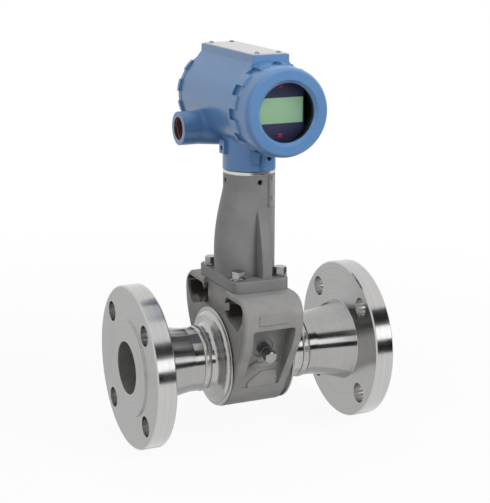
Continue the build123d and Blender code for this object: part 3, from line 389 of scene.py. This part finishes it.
cast_body, tree, shader = new_material("blasted_cast_stainless")
place = add_node(tree, "ShaderNodeTexCoord")
apart = add_node(tree, "ShaderNodeSeparateXYZ", {0: place.outputs["Object"]})
radius = reach_from_axis(tree, place, (0, 0, 0), (0, 1, 1))
along = add_node(tree, "ShaderNodeMath", {0: apart.outputs[0], 1: casting_x}, operation="SUBTRACT")
along = add_node(tree, "ShaderNodeMath", {0: along.outputs[0]}, operation="ABSOLUTE")
turned_end = add_node(tree, "ShaderNodeMath", {
    0: along.outputs[0], 1: turned_from,
}, operation="GREATER_THAN")
bore = add_node(tree, "ShaderNodeMath", {
    0: radius.outputs["Value"], 1: bore_edge,
}, operation="LESS_THAN")
turned = add_node(tree, "ShaderNodeMath", {
    0: turned_end.outputs[0], 1: bore.outputs[0],
}, operation="MAXIMUM")

blast = add_node(tree, "ShaderNodeTexNoise", {
    "Vector": place.outputs["Object"], "Scale": 1 / blast_grain, "Detail": 3.0, "Roughness": 0.7,
})
cloud = add_node(tree, "ShaderNodeTexNoise", {
    "Vector": place.outputs["Object"], "Scale": 1 / (16 * mm), "Detail": 4.0,
})
cast_colour = add_node(tree, "ShaderNodeMix", {
    "Factor": cloud.outputs["Fac"], 6: linear("#757473"), 7: linear("#92918F"),
}, data_type="RGBA")
cast_colour = add_node(tree, "ShaderNodeMix", {
    "Factor": 0.25, 6: cast_colour.outputs[2], 7: blast.outputs["Color"],
}, data_type="RGBA", blend_type="SOFT_LIGHT")

# Painted shadow: inside the windows the colour goes to near black, fading at the sill and towards the ends.
flank = add_node(tree, "ShaderNodeMath", {0: apart.outputs[1]}, operation="ABSOLUTE")
window_painted_shade = add_node(tree, "ShaderNodeMath", {
    0: flank.outputs[0], 1: window_y, 2: window_half,
}, operation="COMPARE")
sill = add_node(tree, "ShaderNodeMapRange", {
    "Value": apart.outputs[2], "From Min": painted_shade_starts, "From Max": painted_shade_full,
}, interpolation_type="SMOOTHSTEP")
roof = add_node(tree, "ShaderNodeMath", {0: apart.outputs[2], 1: window_roof}, operation="LESS_THAN")
depth_in = add_node(tree, "ShaderNodeMapRange", {
    "Value": along.outputs[0], "From Min": painted_shade_deep, "From Max": painted_shade_ends,
    "To Min": 1.0, "To Max": 0.0,
})
for limit in (sill, roof, depth_in):
    window_painted_shade = add_node(tree, "ShaderNodeMath", {0: window_painted_shade.outputs[0], 1: limit.outputs[0]}, operation="MULTIPLY")
cast_colour = add_node(tree, "ShaderNodeMix", {
    "Factor": window_painted_shade.outputs[0], 6: cast_colour.outputs[2], 7: linear("#352D2B"),
}, data_type="RGBA")

line = add_node(tree, "ShaderNodeCombineXYZ", {0: apart.outputs[0], 1: radius.outputs["Value"]})
grooves = add_node(tree, "ShaderNodeTexNoise", {
    "Vector": line.outputs[0], "Scale": 1 / (0.9 * mm), "Detail": 2.0,
})
bright = add_node(tree, "ShaderNodeMix", {
    "Factor": grooves.outputs["Fac"], 6: linear("#A5A4A3"), 7: linear("#C4C3C2"),
}, data_type="RGBA")
colour = add_node(tree, "ShaderNodeMix", {
    "Factor": turned.outputs[0], 6: cast_colour.outputs[2], 7: bright.outputs[2],
}, data_type="RGBA")
rough = add_node(tree, "ShaderNodeMapRange", {"Value": turned.outputs[0], "To Min": 0.56, "To Max": 0.18})
metal = add_node(tree, "ShaderNodeMapRange", {"Value": turned.outputs[0], "To Min": 0.3, "To Max": 1.0})
streak = add_node(tree, "ShaderNodeMath", {0: turned.outputs[0], 1: 0.75}, operation="MULTIPLY")
round_way = add_node(tree, "ShaderNodeVectorMath", {
    0: (1, 0, 0), 1: place.outputs["Object"],
}, operation="CROSS_PRODUCT")
soft_edge = add_node(tree, "ShaderNodeBevel", {"Radius": 1.0 * mm}, samples=4)
height = add_node(tree, "ShaderNodeMix", {
    "Factor": turned.outputs[0], "A": blast.outputs["Fac"], "B": grooves.outputs["Fac"],
})
depth = add_node(tree, "ShaderNodeMapRange", {"Value": turned.outputs[0], "To Min": 0.5, "To Max": 0.12})
bump = add_node(tree, "ShaderNodeBump", {
    "Height": height.outputs[0], "Strength": depth.outputs[0], "Distance": 0.12 * mm,
    "Normal": soft_edge.outputs[0],
})
shader.inputs["Anisotropic Rotation"].default_value = 0.25
tree.links.new(streak.outputs[0], shader.inputs["Anisotropic"])
tree.links.new(round_way.outputs[0], shader.inputs["Tangent"])
tree.links.new(metal.outputs[0], shader.inputs["Metallic"])
tree.links.new(colour.outputs[2], shader.inputs["Base Color"])
tree.links.new(rough.outputs[0], shader.inputs["Roughness"])
tree.links.new(bump.outputs[0], shader.inputs["Normal"])
dress(cast_body, "meter_body")

# Shedder bar, sensor and nut: stainless bar stock, milled and turned and left as machined. The level
# cut marks across them are drawn 0.8 mm apart, coarser than real ones, so that they show.
bar_steel = grained_finish(
    "machined_bar_steel", 0.8 * mm, 3.0, "#A5A4A1", "#CFCECA", relief=(0.25, 0.08 * mm),
    stretch=(0.15, 0.15, 1), surface={"Metallic": 1.0, "Roughness": 0.32},
)
dress(bar_steel, "shedder_bar", "flow_sensor", "sensor_nut")

# Sensor cable: a lead in a black silicone sheath with a soft sheen. It runs up inside the tube from
# the sensor to its connector.
sheath = grained_finish(
    "silicone_sheath", 2 * mm, 3.0, "#1B1B1D", "#2C2C2F", relief=(0.3, 0.1 * mm),
    surface={"Roughness": 0.5, "IOR": 1.41},
)
dress(sheath, "sensor_cable")

# Support tube: a second stainless casting, flared and ribbed over its bolted foot, blasted to a
# matte grey a little darker than the body, with the same grain. The lip and the spigot at its top
# are turned bright to take the housing.
tube_turned_from = 174.5 * mm

cast_tube, tree, shader = new_material("blasted_cast_tube")
place = add_node(tree, "ShaderNodeTexCoord")
apart = add_node(tree, "ShaderNodeSeparateXYZ", {0: place.outputs["Object"]})
turned = add_node(tree, "ShaderNodeMath", {
    0: apart.outputs[2], 1: tube_turned_from,
}, operation="GREATER_THAN")
blast = add_node(tree, "ShaderNodeTexNoise", {
    "Vector": place.outputs["Object"], "Scale": 1 / blast_grain, "Detail": 3.0, "Roughness": 0.7,
})
cloud = add_node(tree, "ShaderNodeTexNoise", {
    "Vector": place.outputs["Object"], "Scale": 1 / (20 * mm), "Detail": 4.0,
})
cast_colour = add_node(tree, "ShaderNodeMix", {
    "Factor": cloud.outputs["Fac"], 6: linear("#676666"), 7: linear("#818080"),
}, data_type="RGBA")
cast_colour = add_node(tree, "ShaderNodeMix", {
    "Factor": 0.25, 6: cast_colour.outputs[2], 7: blast.outputs["Color"],
}, data_type="RGBA", blend_type="SOFT_LIGHT")
colour = add_node(tree, "ShaderNodeMix", {
    "Factor": turned.outputs[0], 6: cast_colour.outputs[2], 7: linear("#CFCDC8"),
}, data_type="RGBA")
rough = add_node(tree, "ShaderNodeMapRange", {"Value": turned.outputs[0], "To Min": 0.56, "To Max": 0.24})
metal = add_node(tree, "ShaderNodeMapRange", {"Value": turned.outputs[0], "To Min": 0.3, "To Max": 1.0})
depth = add_node(tree, "ShaderNodeMapRange", {"Value": turned.outputs[0], "To Min": 0.5, "To Max": 0.08})
soft_edge = add_node(tree, "ShaderNodeBevel", {"Radius": 1.2 * mm}, samples=4)
bump = add_node(tree, "ShaderNodeBump", {
    "Height": blast.outputs["Fac"], "Strength": depth.outputs[0], "Distance": 0.12 * mm,
    "Normal": soft_edge.outputs[0],
})
tree.links.new(metal.outputs[0], shader.inputs["Metallic"])
tree.links.new(colour.outputs[2], shader.inputs["Base Color"])
tree.links.new(rough.outputs[0], shader.inputs["Roughness"])
tree.links.new(bump.outputs[0], shader.inputs["Normal"])
dress(cast_tube, "support_tube")

# Foot bolts and washers: M6 stainless hexagon bolts, cold headed and bright, with turned crowns, on
# flat washers. They hold the tube's foot on the meter body.
bolt_r = 3 * mm
bolt_across = 11.2 * mm
washer_r = 6.9 * mm
bolt_steel = grained_finish(
    "bright_bolt_steel", 1.5 * mm, 4.0, "#8B8A88", "#B4B3B1", relief=(0.2, 0.05 * mm),
    surface={"Metallic": 1.0, "Roughness": 0.2},
)


def turn_shape(bm, profile, place, steps=48):
    """Turns a closed profile of (radius, height) points about the place's Z axis."""
    hollow = profile[0][0] > 0 and profile[-1][0] > 0
    loop = add_line(bm, [(r, 0, z) for r, z in profile], closed=hollow)
    bmesh.ops.spin(
        bm, geom=loop, cent=(0, 0, 0), axis=(0, 0, 1), angle=2 * math.pi, steps=steps, use_merge=True,
    )
    for v in [v for v in bm.verts if not v.tag]:
        v.co = place @ v.co
        v.tag = True


def hex_head(bm, place, across, height):
    """A hexagon head on the place's XY plane: a turned crown, six flats and a washer face."""
    flats = across / 2
    crown_r = flats * 0.93
    face_r = flats * 0.95
    face_h = 0.5 * mm
    made = bmesh.ops.create_circle(bm, cap_ends=True, segments=48, radius=crown_r)
    rim = {e for v in made["verts"] for e in v.link_edges if v.co.length > 0 and len(e.link_faces) == 1}
    edges = list(rim)
    for v in made["verts"]:
        v.co.z = height
    for level_z, kind in ((height, "crown"), (face_h, "flats"), (face_h, "face"), (0, "face")):
        made = bmesh.ops.extrude_edge_only(bm, edges=edges)["geom"]
        edges = [item for item in made if isinstance(item, bmesh.types.BMEdge)]
        edges = [e for e in edges if len(e.link_faces) == 1]
        for v in {v for e in edges for v in e.verts}:
            angle = math.atan2(v.co.y, v.co.x)
            outline = flats / math.cos((angle % math.radians(60)) - math.radians(30))
            reach = face_r if kind == "face" else outline
            drop = (outline - crown_r) * math.tan(math.radians(30)) if kind == "crown" else 0
            v.co = Vector((reach * math.cos(angle), reach * math.sin(angle), level_z - drop))
    bmesh.ops.holes_fill(bm, edges=edges)
    for v in [v for v in bm.verts if not v.tag]:
        v.co = place @ v.co
        v.tag = True


low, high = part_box("tube_washers")
thick = high.z - low.z
bolt_low, bolt_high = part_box("tube_bolts")
shank = high.z - bolt_low.z
bolt_xs = (low.x + washer_r, high.x - washer_r)
bolt_ys = (low.y + washer_r, high.y - washer_r)
washers = bmesh.new()
bolts = bmesh.new()
for i, (x, y) in enumerate([(x, y) for x in bolt_xs for y in bolt_ys]):
    turn_shape(washers, (
        (3.3 * mm, 0.2 * mm), (3.3 * mm, thick - 0.2 * mm), (3.5 * mm, thick), (6.6 * mm, thick),
        (washer_r, thick - 0.3 * mm), (washer_r, 0.2 * mm), (6.7 * mm, 0), (3.5 * mm, 0),
    ), Matrix.Translation((x, y, low.z)))
    top = Matrix.Translation((x, y, high.z)) @ Matrix.Rotation(math.radians(17 + 41 * i), 4, "Z")
    hex_head(bolts, top, bolt_across, bolt_high.z - high.z)
    turn_shape(bolts, (
        (0, shank), (bolt_r, shank), (bolt_r, 0.6 * mm), (2.4 * mm, 0), (0, 0),
    ), Matrix.Translation((x, y, bolt_low.z)), steps=24)
save_piece(washers, "foot_washers", "meter", "bright_fastener", bolt_steel, "tube_washers", sharp=30)
save_piece(bolts, "foot_bolts", "meter", "bright_fastener", bolt_steel, "tube_bolts", sharp=30)

# Access plug: a stainless hexagon plug with two rings on its stem, screwed into the leaning recess.
# Dried thread compound keeps the stem dark and patchy; the turned head is bright.
recess_lean = math.radians(14.5)
recess_origin = Vector((115.8 * mm, -53 * mm, 41.5 * mm))
plug_aside = -1.4 * mm
plug_down = 23.9 * mm
stem_end = 11.5 * mm
plug_root_r = 4.95 * mm
plug_crest_r = 5.5 * mm
plug_pitch = 1.5 * mm
plug_across = 10.6 * mm
plug_head_h = 7.2 * mm
plug_thread_steel = grained_finish(
    "compound_coated_thread", 2.2 * mm, 4.0, "#39383A", "#77757A", relief=(0.4, 0.1 * mm),
    surface={"Metallic": 0.85, "Roughness": 0.42},
)


def thread_rib(bm, place, root, crest, pitch, turns, steps=36):
    """A helical rib of a thread, round the place's Z axis from its origin upwards."""
    line = add_line(bm, [
        (root, 0, 0), (crest, 0, 0.36 * pitch), (crest, 0, 0.54 * pitch), (root, 0, 0.9 * pitch),
    ], closed=True)
    face = bm.faces.new([item for item in line if isinstance(item, bmesh.types.BMVert)])
    bmesh.ops.spin(
        bm, geom=[face], cent=(0, 0, 0), axis=(0, 0, 1), dvec=(0, 0, pitch / steps),
        angle=2 * math.pi * turns, steps=int(turns * steps), use_merge=False,
    )
    for v in [v for v in bm.verts if not v.tag]:
        v.co = place @ v.co
        v.tag = True


out = Vector((0, -math.cos(recess_lean), -math.sin(recess_lean)))
down = Vector((0, math.sin(recess_lean), -math.cos(recess_lean)))
plug_root = recess_origin + Vector((plug_aside, 0, 0)) + down * plug_down
plug_axes = Matrix((Vector((1, 0, 0)), -down, out)).transposed().to_4x4()
plug_place = Matrix.Translation(plug_root) @ plug_axes
stem = bmesh.new()
turn_shape(stem, (
    (0, -10.8 * mm), (4.4 * mm, -10.8 * mm), (5.0 * mm, -10.2 * mm),
    (5.0 * mm, 2.6 * mm), (6.0 * mm, 2.9 * mm), (6.3 * mm, 3.3 * mm),
    (6.3 * mm, 4.1 * mm), (6.0 * mm, 4.5 * mm), (5.0 * mm, 4.8 * mm),
    (5.0 * mm, 6.6 * mm), (6.0 * mm, 6.9 * mm), (6.3 * mm, 7.3 * mm),
    (6.3 * mm, 8.1 * mm), (6.0 * mm, 8.5 * mm), (5.0 * mm, 8.8 * mm),
    (5.0 * mm, stem_end), (0, stem_end),
), plug_place)
thread_start = plug_place @ Matrix.Translation((0, 0, -9.5 * mm))
thread_rib(stem, thread_start, plug_root_r, plug_crest_r, plug_pitch, turns=8)
save_piece(stem, "plug_stem", "meter", "plug_steel", plug_thread_steel, "access_plug", sharp=30)
head = bmesh.new()
head_place = plug_place @ Matrix.Translation((0, 0, stem_end)) @ Matrix.Rotation(math.radians(30), 4, "Z")
hex_head(head, head_place, plug_across, plug_head_h)
save_piece(head, "plug_head", "meter", "bright_fastener", bolt_steel, sharp=30)

# Tube tag: a blank strip of thin stainless sheet, brushed along its length and rolled to the tube,
# fixed by two drive screws with domed heads. The brush lines are drawn 0.5 mm apart, coarser than
# real ones.
tube_x = 121.4 * mm
tag_face_r = 25.06 * mm
tag_mid_z = 158.8 * mm
tag_angle = math.radians(-56)
tag_screw_lifts = (-6.8 * mm, 11.2 * mm)
tag_steel = grained_finish(
    "rolled_tag_steel", 0.5 * mm, 3.0, "#7F7E7C", "#A09F9D", relief=(0.3, 0.05 * mm),
    stretch=(1, 1, 0.08), surface={"Metallic": 1.0, "Roughness": 0.36},
)
dress(tag_steel, "tube_tag")
tag_out = Vector((math.cos(tag_angle), math.sin(tag_angle), 0))
face_out = tag_out.to_track_quat("Z", "Y").to_matrix().to_4x4()
heads = bmesh.new()
for lift in tag_screw_lifts:
    seat = Vector((tube_x, 0, tag_mid_z + lift)) + tag_out * tag_face_r
    turn_shape(heads, (
        (0, -4 * mm), (1.1 * mm, -4 * mm), (1.1 * mm, 0), (2.0 * mm, 0), (1.95 * mm, 0.35 * mm),
        (1.6 * mm, 0.72 * mm), (1.0 * mm, 0.93 * mm), (0, 1.0 * mm),
    ), Matrix.Translation(seat) @ face_out, steps=24)
save_piece(heads, "tag_drive_screws", "meter", "bright_fastener", bolt_steel, "tag_screws", sharp=40)

# Seals: moulded nitrile rings of square section, matte black, pressed in at the neck and under both
# covers.
nitrile = grained_finish(
    "nitrile_rubber", 1.2 * mm, 4.0, "#121213", "#262628", relief=(0.4, 0.06 * mm),
    surface={"Roughness": 0.55, "IOR": 1.5},
)
dress(nitrile, "housing_seal", "display_cover_seal", "terminal_cover_seal")

# Electronics housing: die-cast aluminium under blue polyurethane paint that lies smooth, with a
# faint orange peel, and rounds every edge. The chambers inside are painted near black, a painted
# shade for their dark inside, and the conduit entries are brown with thread compound.
barrel_z = 239.2 * mm
chamber_edge = 35.2 * mm
conduit_y = 28 * mm
conduit_z = 213.8 * mm
entry_edge = 10.7 * mm
cavity_painted_shade = linear("#100C0C")


def painted_casting(name):
    """Smooth blue paint with a faint orange peel; the caller masks its colour and links it."""
    material, tree, shader = new_material(name)
    place = add_node(tree, "ShaderNodeTexCoord")
    peel = add_node(tree, "ShaderNodeTexNoise", {
        "Vector": place.outputs["Object"], "Scale": 1 / (2.4 * mm), "Detail": 2.0,
    })
    shade = add_node(tree, "ShaderNodeTexNoise", {
        "Vector": place.outputs["Object"], "Scale": 1 / (35 * mm), "Detail": 2.0,
    })
    paint = add_node(tree, "ShaderNodeMix", {
        "Factor": shade.outputs["Fac"], 6: linear("#426A96"), 7: linear("#4D749F"),
    }, data_type="RGBA")
    soft_edge = add_node(tree, "ShaderNodeBevel", {"Radius": 1.0 * mm}, samples=4)
    bump = add_node(tree, "ShaderNodeBump", {
        "Height": peel.outputs["Fac"], "Strength": 0.1, "Distance": 0.2 * mm,
        "Normal": soft_edge.outputs[0],
    })
    shader.inputs["Roughness"].default_value = 0.34
    shader.inputs["IOR"].default_value = 1.5
    shader.inputs["Coat Weight"].default_value = 0.25
    shader.inputs["Coat Roughness"].default_value = 0.12
    tree.links.new(bump.outputs[0], shader.inputs["Normal"])
    return material, tree, shader, place, paint


blue_housing, tree, shader, place, paint = painted_casting("blue_painted_casting")
barrel_reach = reach_from_axis(tree, place, (tube_x, 0, barrel_z), (1, 0, 1))
# Painted shade: inside the barrel's chambers the colour is near black.
inside = add_node(tree, "ShaderNodeMath", {
    0: barrel_reach.outputs["Value"], 1: chamber_edge,
}, operation="LESS_THAN")
entry_reach = reach_from_axis(tree, place, (0, conduit_y, conduit_z), (0, 1, 1))
entry = add_node(tree, "ShaderNodeMath", {
    0: entry_reach.outputs["Value"], 1: entry_edge,
}, operation="LESS_THAN")
colour = add_node(tree, "ShaderNodeMix", {
    "Factor": entry.outputs[0], 6: paint.outputs[2], 7: linear("#4A302D"),
}, data_type="RGBA")
colour = add_node(tree, "ShaderNodeMix", {
    "Factor": inside.outputs[0], 6: colour.outputs[2], 7: cavity_painted_shade,
}, data_type="RGBA")
tree.links.new(colour.outputs[2], shader.inputs["Base Color"])
dress(blue_housing, "electronics_housing")

# Screw covers: cast and painted as the housing is, with castellated collars to grip. From the
# glass inwards, their threads and inner walls are painted near black as painted shade.
glass_low, glass_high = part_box("cover_glass")
barrel_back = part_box("electronics_housing")[1].y
painted_shade_mid = (glass_low.y + barrel_back) / 2
painted_shade_reach = (barrel_back - glass_low.y) / 2 + 0.1 * mm

blue_covers, tree, shader, place, paint = painted_casting("blue_painted_covers")
apart = add_node(tree, "ShaderNodeSeparateXYZ", {0: place.outputs["Object"]})
barrel_reach = reach_from_axis(tree, place, (tube_x, 0, barrel_z), (1, 0, 1))
inside = add_node(tree, "ShaderNodeMath", {
    0: barrel_reach.outputs["Value"], 1: chamber_edge,
}, operation="LESS_THAN")
# Painted shade: behind the glass and within the chamber the colour is near black.
behind = add_node(tree, "ShaderNodeMath", {
    0: apart.outputs[1], 1: painted_shade_mid, 2: painted_shade_reach,
}, operation="COMPARE")
inside = add_node(tree, "ShaderNodeMath", {
    0: inside.outputs[0], 1: behind.outputs[0],
}, operation="MULTIPLY")
colour = add_node(tree, "ShaderNodeMix", {
    "Factor": inside.outputs[0], 6: paint.outputs[2], 7: cavity_painted_shade,
}, data_type="RGBA")
tree.links.new(colour.outputs[2], shader.inputs["Base Color"])
dress(blue_covers, "display_cover", "terminal_cover")

# Conduit threads: half-inch pipe thread cut into both entries, bare metal gone brown with its
# thread compound.
entry_root = 10.49 * mm
entry_crest = 9.6 * mm
entry_pitch = 1.814 * mm
entry_lead = 1.2 * mm
brown_thread = grained_finish(
    "brown_conduit_thread", 3 * mm, 4.0, "#4B2F2B", "#7A544C", relief=(0.3, 0.1 * mm),
    surface={"Metallic": 0.6, "Roughness": 0.4},
)
mouths = (("conduit_thread_left", 62.6 * mm, 1), ("conduit_thread_right", 180.2 * mm, -1))
for name, mouth, inward in mouths:
    bm = bmesh.new()
    aim = Vector((inward, 0, 0)).to_track_quat("Z", "Y").to_matrix().to_4x4()
    start = Matrix.Translation((mouth + inward * entry_lead, conduit_y, conduit_z)) @ aim
    thread_rib(bm, start, entry_root, entry_crest, entry_pitch, turns=8)
    save_piece(bm, name, "housing", "blue_paint", brown_thread, sharp=30)

# Set screws: steel cup-point screws with hexagon sockets, in the bosses round the neck. Their black
# oxide is near black and rubbed lighter in places.
oxide_steel = grained_finish(
    "black_oxide_steel", 0.9 * mm, 3.0, "#2B2B2D", "#5E5E61", relief=(0.3, 0.05 * mm),
    surface={"Metallic": 1.0, "Roughness": 0.38},
)
dress(oxide_steel, "housing_screws")

# Name plate: satin aluminium sheet, blank, brushed along its length and held by four pan-head
# screws. The brush lines are drawn 0.5 mm apart, coarser than real ones.
head_r = 2.3 * mm
plate_sheet = grained_finish(
    "satin_plate_sheet", 0.5 * mm, 3.0, "#BEBEBD", "#D2D2D1", relief=(0.3, 0.04 * mm),
    stretch=(1, 0.05, 1), surface={"Metallic": 0.7, "Roughness": 0.42},
)
dress(plate_sheet, "name_plate")
low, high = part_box("name_plate_screws")
plate_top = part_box("name_plate")[1].z
screw_end = low.z - plate_top
screw_xs = (low.x + head_r, high.x - head_r)
screw_ys = (low.y + head_r, high.y - head_r)
heads = bmesh.new()
for i, (x, y) in enumerate([(x, y) for x in screw_xs for y in screw_ys]):
    seat = Matrix.Translation((x, y, plate_top)) @ Matrix.Rotation(math.radians(23 + 64 * i), 4, "Z")
    turn_shape(heads, (
        (0, screw_end), (1.2 * mm, screw_end), (1.2 * mm, 0), (head_r, 0), (head_r, 0.7 * mm),
        (1.9 * mm, 1.2 * mm), (1.1 * mm, 1.4 * mm), (0.9 * mm, 1.4 * mm), (0.9 * mm, 0.8 * mm),
        (0, 0.8 * mm),
    ), seat, steps=24)
save_piece(heads, "plate_pan_screws", "housing", "screw_steel", bolt_steel, "name_plate_screws", sharp=30)

# Cover glass: toughened glass, flat and clear, behind the cover's bevelled window. A ring in black
# oxide holds it from behind, and dark sealant round its edge keeps light from the rim.
sealed_r = (glass_high.x - glass_low.x) / 2 - 0.3 * mm

clear_glass, tree, shader = new_material("toughened_glass")
place = add_node(tree, "ShaderNodeTexCoord")
film = add_node(tree, "ShaderNodeTexNoise", {
    "Vector": place.outputs["Object"], "Scale": 1 / (18 * mm), "Detail": 2.0,
})
haze = add_node(tree, "ShaderNodeMapRange", {"Value": film.outputs["Fac"], "To Min": 0.0, "To Max": 0.03})
barrel_reach = reach_from_axis(tree, place, (tube_x, 0, barrel_z), (1, 0, 1))
clear = add_node(tree, "ShaderNodeMath", {
    0: barrel_reach.outputs["Value"], 1: sealed_r,
}, operation="LESS_THAN")
colour = add_node(tree, "ShaderNodeMix", {
    "Factor": clear.outputs[0], 6: linear("#100C0C"), 7: linear("#F4F8F7"),
}, data_type="RGBA")
shader.inputs["IOR"].default_value = 1.5
tree.links.new(clear.outputs[0], shader.inputs["Transmission Weight"])
tree.links.new(colour.outputs[2], shader.inputs["Base Color"])
tree.links.new(haze.outputs[0], shader.inputs["Roughness"])
dress(clear_glass, "cover_glass")
dress(oxide_steel, "glass_retainer")

# Electronics: a potted module, the terminal block and the cable's connector, moulded in black nylon
# with a dull skin whose grain is drawn 0.8 mm wide, coarser than the real one. Screws in black oxide
# hold the module; the terminal and ground screws are bright.
black_nylon = grained_finish(
    "moulded_black_nylon", 0.8 * mm, 3.0, "#141416", "#232327", relief=(0.3, 0.05 * mm),
    surface={"Roughness": 0.48, "IOR": 1.53},
)
dress(black_nylon, "electronics_module", "terminal_block", "cable_connector")
dress(oxide_steel, "module_screws")
dress(bolt_steel, "terminal_screws", "inner_ground_screw")

# Display: a moulded navy plate on two posts, a pale green reflective glass and two glossy magenta
# clips, with moulded grain as coarse as the nylon's. The glass is given a faint glow, painted light
# standing in for the light that its mirror sends back.
navy_moulding = grained_finish(
    "navy_moulding", 0.8 * mm, 3.0, "#3B3E68", "#4A4C78", relief=(0.25, 0.05 * mm),
    surface={"Roughness": 0.4, "IOR": 1.5},
)
dress(navy_moulding, "display_bezel")
# Painted light: the LCD's emission is a glow that stands in for light it reflects.
lcd_surface_and_painted_glow = {
    "Roughness": 0.25, "IOR": 1.5, "Emission Color": linear("#A2CCA6"), "Emission Strength": 0.3,
}
lcd = grained_finish("reflective_lcd", 14 * mm, 2.0, "#9CC4A0", "#AACFAC", surface=lcd_surface_and_painted_glow)
dress(lcd, "lcd_glass")
magenta_clip = grained_finish(
    "magenta_moulding", 0.8 * mm, 3.0, "#A3224A", "#C23A5E", surface={"Roughness": 0.3, "IOR": 1.5},
)
dress(magenta_clip, "display_clips")
dress(oxide_steel, "display_posts")
